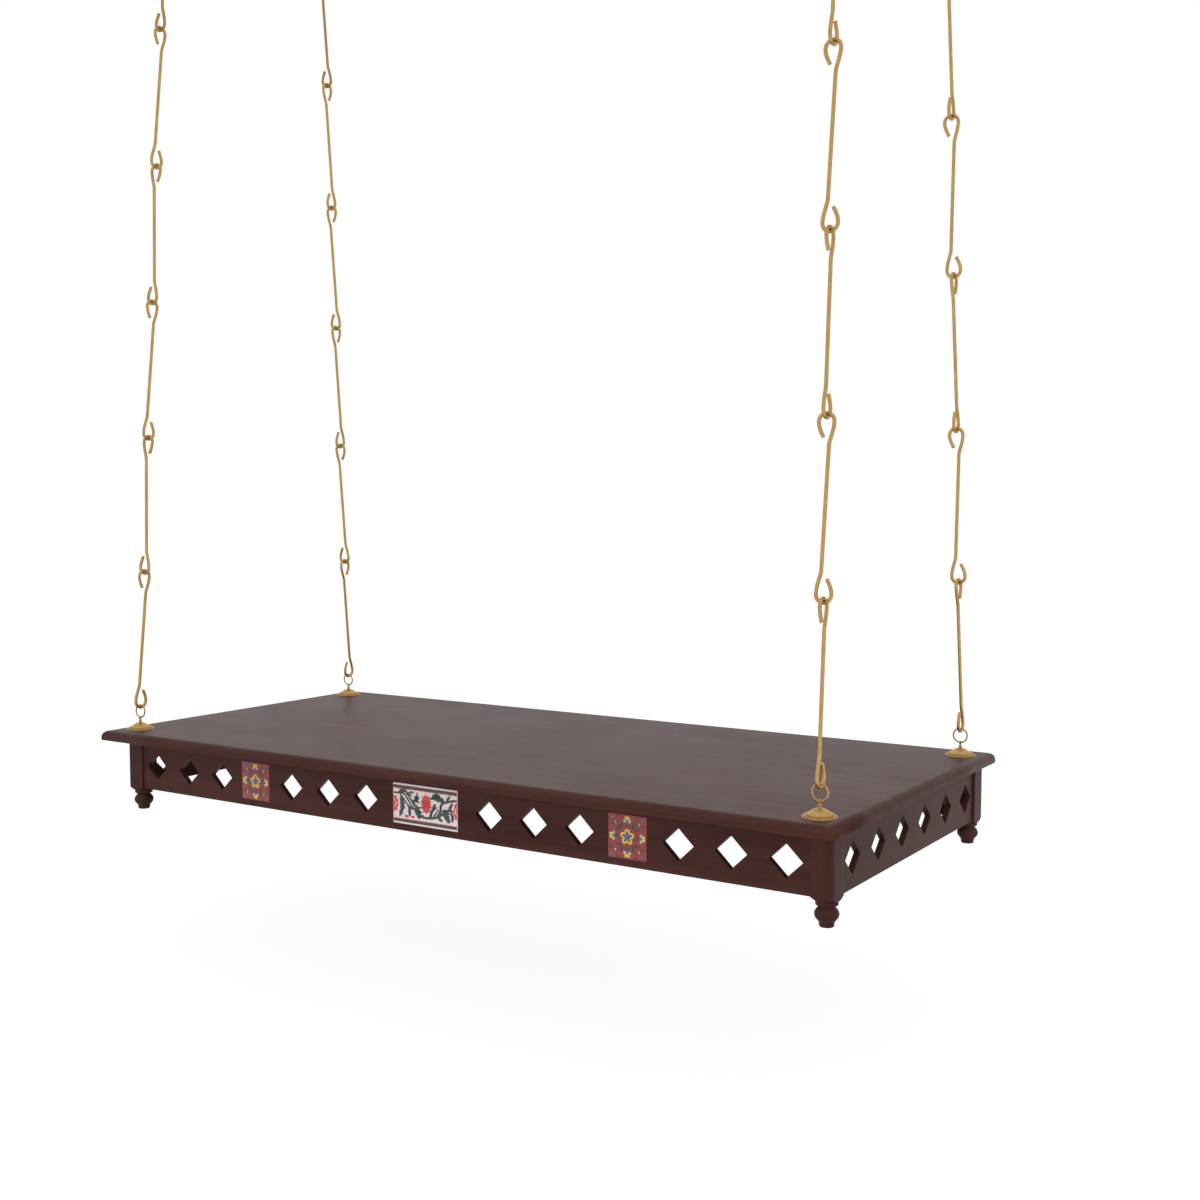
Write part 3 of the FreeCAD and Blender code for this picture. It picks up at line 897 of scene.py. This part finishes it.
def squareTilePaint():
    # a five-petalled flower, a half flower at each side and a scroll in each corner
    coats = {name: [] for name in squareTile["coats"]}

    def lay(name, shape, width, *points):
        coats[name].append((shape, width, *points))

    share = 360 / squareTile["petals"]
    halfGap = squareTile["petalGap"] // 2
    for k in range(squareTile["petals"]):
        way = 90 + share * k
        middle = Vector(polar(squareTile["petalPlace"], way))
        turns = range(halfGap - 180, 181 - halfGap, 50)
        ring = (tuple(middle + Vector(polar(squareTile["petalRadius"], way + turn))) for turn in turns)
        lay("yellow", "even", 2.9, *ring)
        lay("ink", "tear", 2.6, polar(4.4, way), polar(8.8, way))
        lay("blue", "tear", 4.4, (0, 0), polar(6.6, way + share / 2))
    lay("blue", "even", 8.4, (0, 0))
    lay("ink", "even", 3.0, (0.2, 0.1))
    for way in (0, 90, 180, 270):
        def around(*points):
            return [turnPoint((x, y + squareTile["sideFlower"]), way) for x, y in points]
        lay("redShade", "leaf", 2.6, *around((-7.5, -7.6), (0, -6.6), (7.5, -7.8)))
        lay("leafDark", "leaf", 4.6, *around((-3, -2.6), (0, -4.2), (3, -2.6)))
        for side in (-1, 1):
            lay("yellow", "tear", 5.0, *around((side * 0.8, 0.5), (side * 2.3, 5.0), (side * 2.7, 9.6)))
            lay("paleYellow", "tear", 5.0, *around((side * 1.0, 0.6), (side * 4.2, 1.4), (side * 7.6, 0.6)))
        lay("blue", "even", 6.4, *around((0, 0.4)))
    for x in (-1, 1):
        for y in (-1, 1):
            def corner(*points):
                return [(x * u, y * v) for u, v in points]
            scroll = corner((12.0, 25.0), (11.6, 18.5), (14.0, 14.6), (18.2, 13.6), (22.6, 13.4))
            lay("scroll", "even", 4.8, *scroll)
            lay("scroll", "leaf", 4.0, *corner((15.0, 34.6), (18.4, 35.2), (21.6, 33.8)))
            lay("scroll", "leaf", 4.0, *corner((30.4, 23.4), (30.0, 20.4), (31.2, 17.2)))
            lay("leafDark", "tear", 5.2, *corner((19.6, 20.6), (20.4, 25.4)))
            lay("paleYellow", "tear", 4.6, *corner((22.8, 20.6), (22.4, 25.6)))
            lay("dullBlue", "even", 6.6, *corner((29.8, 31.0)))
    return coats


longTile = {
    "coats": ("leafDark", "flowerRed", "leafPale", "redShade", "scroll"),
    "end": 76,
    "border": (5.0, 31.9),                  # width and height of the green stripe
    "dashes": 31,
    "dashStep": 5,
    "dashTop": 30.8,
    "redDash": ("flowerRed", 1.7, 0.0, 27.6),   # glaze, width, shift along and lower end
    "darkDash": ("scroll", 2.9, 2.4, 27.8),
    "dashLean": 0.8,
    "sideFlowers": ((-1, 13.8), (1, 9.0)),  # side and reach
    "sideFlower": (-1, 17.5),               # height of its middle, and its own half height
    "middleFlower": (3.3, 4.6, 13.8, 19.2),
    "filledMiddle": 1.3,
    "petals": 20,
    "petalWidth": 3.7,
    "petalStart": 0.3,
    "petalRoot": 0.35,
    "petalTips": (0.88, 1.0),
}
branch = {
    "leafDark": [
        ("band", 3.4, (-75.5, 19.4), (-70, 19.4), (-62, 20.2)),
        ("band", 3.2, (66, 17.9), (71, 18.7), (75.5, 19.0)),
        ("even", 4.0, (-68, 19.5), (-66, 19.5), (-60, 20.5), (-52, 25), (-43, 21), (-33, 9.5), (-26, 0),
         (-21, -9)),
        ("even", 4.4, (-62, 19), (-54, 21), (-48, 17.5), (-40, 9), (-33, 0), (-26, -8)),
        ("even", 4.2, (-60, 18), (-53, 12.5), (-46, 5.5), (-40, -2), (-33, -6), (-26, -8)),
        ("leaf", 8.5, (-66, 18), (-57, 23), (-50, 25.5), (-41, 22)),
        ("torn", 14.5, (-57, 19), (-54.5, 5), (-54, -8), (-61, -25)),
        ("leaf", 5.5, (-41, -4), (-36.5, -5), (-32, -5)),
        ("torn", 10, (-36.8, -5), (-36.5, -13), (-36, -23)),
        ("even", 3.6, (-45, 18), (-39, 20.5), (-33, 23.5), (-26, 22)),
        ("leaf", 4, (-40, 19), (-36, 19), (-30, 16.5)),
        ("torn", 7.5, (-27, 8), (-20.5, 12), (-17.5, 25)),
        ("leaf", 7.5, (-24, 7), (-19, 12), (-13.5, 17)),
        ("leaf", 6, (-20, 6), (-21, 13), (-25.5, 17)),
        ("leaf", 5.5, (-31, 7), (-22, 8.5), (-12, 5)),
        ("even", 3.6, (-28, 7), (-21, 0), (-15, -3.5), (-8, -2.5)),
        ("torn", 16, (-25, -5), (-18, -11), (-12, -25)),
        ("leaf", 7, (-22, -9), (-14, -11), (-6, -12)),
        ("leaf", 5, (-15, -16), (-9, -18.5), (-3, -16)),
        ("even", 4.6, (-14, -16), (-6, -20), (7, -20.5), (18, -19.5), (32, -16), (42, -9), (50, -4)),
        ("even", 6.2, (12, -20), (15, -12), (18.5, -4), (25, 8)),
        ("leaf", 5, (13, -14), (20, -4), (30, 3)),
        ("even", 3.6, (19, -19), (26, -10), (33, -1)),
        ("even", 4.4, (27, -17), (34, -8), (38, 1), (38.5, 6)),
        ("even", 4.6, (36, -12), (37.5, -4), (37.5, 5), (44, 11), (54, 14.5), (64, 17.5), (76, 19)),
        ("even", 3.4, (10, 15), (15, 16.5), (20, 18)),
        ("torn", 17, (16, 16), (25, 20.5), (34, 18), (47, 14)),
        ("torn", 11, (18, 19), (26, 23), (38, 22)),
        ("torn", 7, (51, 12), (54, 19), (61, 27)),
        ("even", 4, (40, -5), (48, -1.5), (58, -1), (69, -1.5)),
        ("torn", 8.5, (57, -3), (60, 5), (66, 14)),
        ("torn", 16, (43, -5), (50, -12), (59, -24)),
        ("leaf", 6, (44, -6), (52, -5), (60, -8)),
        ("torn", 9, (61, -2), (65, -12), (64.5, -22)),
        ("torn", 7.5, (30, -15), (36, -20), (43, -22)),
    ],
    "flowerRed": [
        ("leaf", 5.4, (-49, -23.6), (-44, -22.6), (-39, -23.6)),
        ("leaf", 4.8, (-33, -23.4), (-28.5, -22.4), (-24, -23.2)),
    ],
    "leafPale": [
        ("leaf", 1.9, (-58, 17.5), (-52, 15), (-45, 7), (-39.5, 0)),
        ("leaf", 1.7, (-49, 20), (-39, 12), (-31, 1), (-25, -7)),
        ("leaf", 1.6, (-24, 1.5), (-18, 3), (-12, 1.5)),
        ("leaf", 2.0, (18, -16), (24, -7), (31, 1)),
        ("leaf", 2.0, (25, -15), (30, -8), (35, -1)),
    ],
    "redShade": [
        ("leaf", 2.0, (-3.5, 11), (0, 4), (6, -6)),
        ("leaf", 1.4, (-0.5, 15), (3.5, 8), (7.5, 0)),
        ("leaf", 1.3, (7, 13), (9.5, 7), (10, 0)),
        ("leaf", 1.3, (-6, 5), (-3.5, -1), (0.5, -6)),
    ],
}


def raggedFlower(x, z, wide, high):
    # narrow petals round a filled middle, long and short in turn
    marks = [("even", wide * longTile["filledMiddle"], (x, z + high / 2), (x, z), (x, z - high / 2))]
    for k in range(longTile["petals"]):
        way = math.tau * (k + longTile["petalStart"]) / longTile["petals"]
        ends = longTile["petalRoot"], longTile["petalTips"][k % 2]
        petal = [(x + wide * end * math.cos(way), z + high * end * math.sin(way)) for end in ends]
        marks.append(("tear", longTile["petalWidth"], *petal))
    return marks


def longTilePaint():
    # a flowering branch between two striped borders
    coats = {name: [] for name in longTile["coats"]}
    end = longTile["end"]
    width, height = longTile["border"]
    for side in (-1, 1):
        coats["leafDark"].append(("band", width, *((x, side * height) for x in (-end, 0, end))))
        for k in range(longTile["dashes"]):
            for name, dashWidth, shift, low in (longTile["redDash"], longTile["darkDash"]):
                x = (k - longTile["dashes"] // 2) * longTile["dashStep"] + shift
                dash = (x, side * longTile["dashTop"]), (x + longTile["dashLean"], side * low)
                coats[name].append(("even", dashWidth, *dash))
    z, high = longTile["sideFlower"]
    for side, reach in longTile["sideFlowers"]:
        coats["flowerRed"] += raggedFlower(side * end, z, reach, high)
        vein = (side * (end - 1.5), 8.5), (side * (end - reach / 2), -0.5), (side * (end - 1.5), -10)
        coats["leafPale"].append(("leaf", 2.0, *vein))
    coats["flowerRed"] += raggedFlower(*longTile["middleFlower"])
    for name, marks in branch.items():
        coats[name] += marks
    return coats


squarePaint, longPaint = squareTilePaint(), longTilePaint()
for pieceName, node, ground, slotName, paint in (
    ("leftTile", "tile_left", "redGround", "red_tile", squarePaint),
    ("rightTile", "tile_right", "redGround", "red_tile", squarePaint),
    ("middleTile", "tile_centre", "whiteGround", "white_tile", longPaint),
):
    low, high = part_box(node)
    bm = bmesh.new()
    tileBody(bm, low, high)
    centre = Vector(((low.x + high.x) / 2, low.y + tileSizes["sink"] * mm, (low.z + high.z) / 2))
    half = [side / 2 / mm - tileSizes["margin"] for side in (high.x - low.x, high.z - low.z)]
    for coat, marks in enumerate(paint.values()):
        depth = tileSizes["firstCoat"] + tileSizes["coat"] * coat
        for order, mark in enumerate(marks):
            brushMark(bm, centre, half, (depth + order * tileSizes["order"]) * mm, mark, coat + 1)
    materials = [glaze[name] for name in (ground, *paint)]
    finishPiece(bm, pieceName, "seat", materials, [node], tileSizes["sharp"])
print("tiles ready")


# Floor, light and camera

studio = {
    "seatHeight": 0.45,
    "floorSize": 60.0,
    "skyLight": 0.95,
    "keyPower": 90.0,
    "keySize": (3.2, 1.3),
    "keyPlace": (0.6, -4.2, -1.95),
    "fillPower": 24.0,
    "fillSize": (2.5, 2.5),
    "fillPlace": (4.0, -0.6, -1.4),
    "floorGlow": 0.9,
    "floorColor": 0.14,
}


def seenDirectly(tree):
    # 1 for rays from the camera, off a glossy face or through a clear one
    rays = addNode(tree, "ShaderNodeLightPath").outputs
    bounced = mathNode(tree, "MAXIMUM", rays["Is Glossy Ray"], rays["Is Transmission Ray"])
    return mathNode(tree, "MAXIMUM", rays["Is Camera Ray"], bounced)


bm = bmesh.new()
bmesh.ops.create_grid(bm, x_segments=1, y_segments=1, size=studio["floorSize"] / 2)
bmesh.ops.translate(bm, vec=(0, 0, plankHigh.z - studio["seatHeight"]), verts=bm.verts)
floorMesh = toMesh(bm, "floor")
floor = bpy.data.objects.new("floor", floorMesh)
scene.collection.objects.link(floor)
floorMaterial, tree, shader = newMaterial("paleFloor")
tree.nodes.remove(shader)
strength = mathNode(tree, "MULTIPLY", seenDirectly(tree), studio["floorGlow"])
glow = addNode(tree, "ShaderNodeEmission", {"Color": (1, 1, 1, 1), "Strength": strength})
plain = addNode(tree, "ShaderNodeBsdfDiffuse", {"Color": (studio["floorColor"],) * 3 + (1,)})
both = addNode(tree, "ShaderNodeAddShader", {0: glow.outputs[0], 1: plain.outputs[0]})
feed(tree, tree.nodes["Material Output"].inputs["Surface"], both.outputs[0])
floorMesh.materials.append(floorMaterial)

world = bpy.data.worlds.new("studio")
scene.world = world
world.use_nodes = True
tree = world.node_tree
skyLight = studio["skyLight"]
strength = mathNode(tree, "MULTIPLY_ADD", seenDirectly(tree), 1 - skyLight, skyLight)
sky = tree.nodes["Background"].inputs
feed(tree, sky["Strength"], strength)
feed(tree, sky["Color"], (1, 1, 1, 1))


def softLamp(name, place, target, size, power):
    lamp = bpy.data.lights.new(name, "AREA")
    lamp.shape = "RECTANGLE"
    lamp.size, lamp.size_y = size
    lamp.energy = power
    holder = bpy.data.objects.new(name, lamp)
    holder.location = place
    holder.visible_glossy = False
    holder.rotation_euler = (Vector(target) - Vector(place)).to_track_quat("-Z", "Y").to_euler()
    scene.collection.objects.link(holder)


middle = (plankLow + plankHigh) / 2
softLamp("keyLamp", studio["keyPlace"], middle, studio["keySize"], studio["keyPower"])
softLamp("fillLamp", studio["fillPlace"], middle, studio["fillSize"], studio["fillPower"])

view = {
    "place": (1.7078, -2.3643, plankLow.z + 0.5120),
    "turn": 0.57578,
    "tilt": 0.07049,
    "lens": 43.56,
    "sensor": 36.0,
    "farEnd": 100.0,
}
camera = bpy.data.cameras.new("camera")
camera.lens = view["lens"]
camera.sensor_width = view["sensor"]
camera.clip_end = view["farEnd"]
cameraHolder = bpy.data.objects.new("camera", camera)
cameraHolder.location = view["place"]
cameraHolder.rotation_euler = (quarter - view["tilt"], 0, view["turn"])
scene.collection.objects.link(cameraHolder)
scene.camera = cameraHolder
scene.view_settings.view_transform = "Standard"
print("studio ready")
